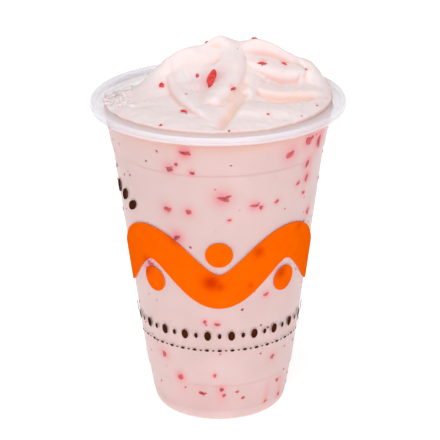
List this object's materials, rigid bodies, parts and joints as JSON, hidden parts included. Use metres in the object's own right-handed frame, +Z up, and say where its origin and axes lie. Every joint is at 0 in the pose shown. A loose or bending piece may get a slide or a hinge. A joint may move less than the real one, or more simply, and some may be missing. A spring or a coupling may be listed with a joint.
{
  "type": "strawberry smoothie",
  "caption": "Strawberry smoothie heaped in soft folds in a tapered translucent plastic cup with a wide flat rim and a printed orange band.",
  "frame": {"origin": "centre of the foot ring at the table", "axes": "+Z up along the cup's axis, -Y towards the side where the heap's furrow meets the rim"},
  "size_m": [0.095, 0.095, 0.1427],
  "materials": {
    "cup_plastic": "milky translucent thermoformed plastic, soft gloss",
    "smoothie": "pale pink blended drink, smooth and moist, slightly translucent",
    "strawberry": "wet red bits of fruit",
    "print_orange": "opaque orange ink",
    "print_brown": "opaque dark brown ink"
  },
  "bodies": {
    "root": {"cup": "cup_plastic", "smoothie": "smoothie"}
  },
  "joints": []
}
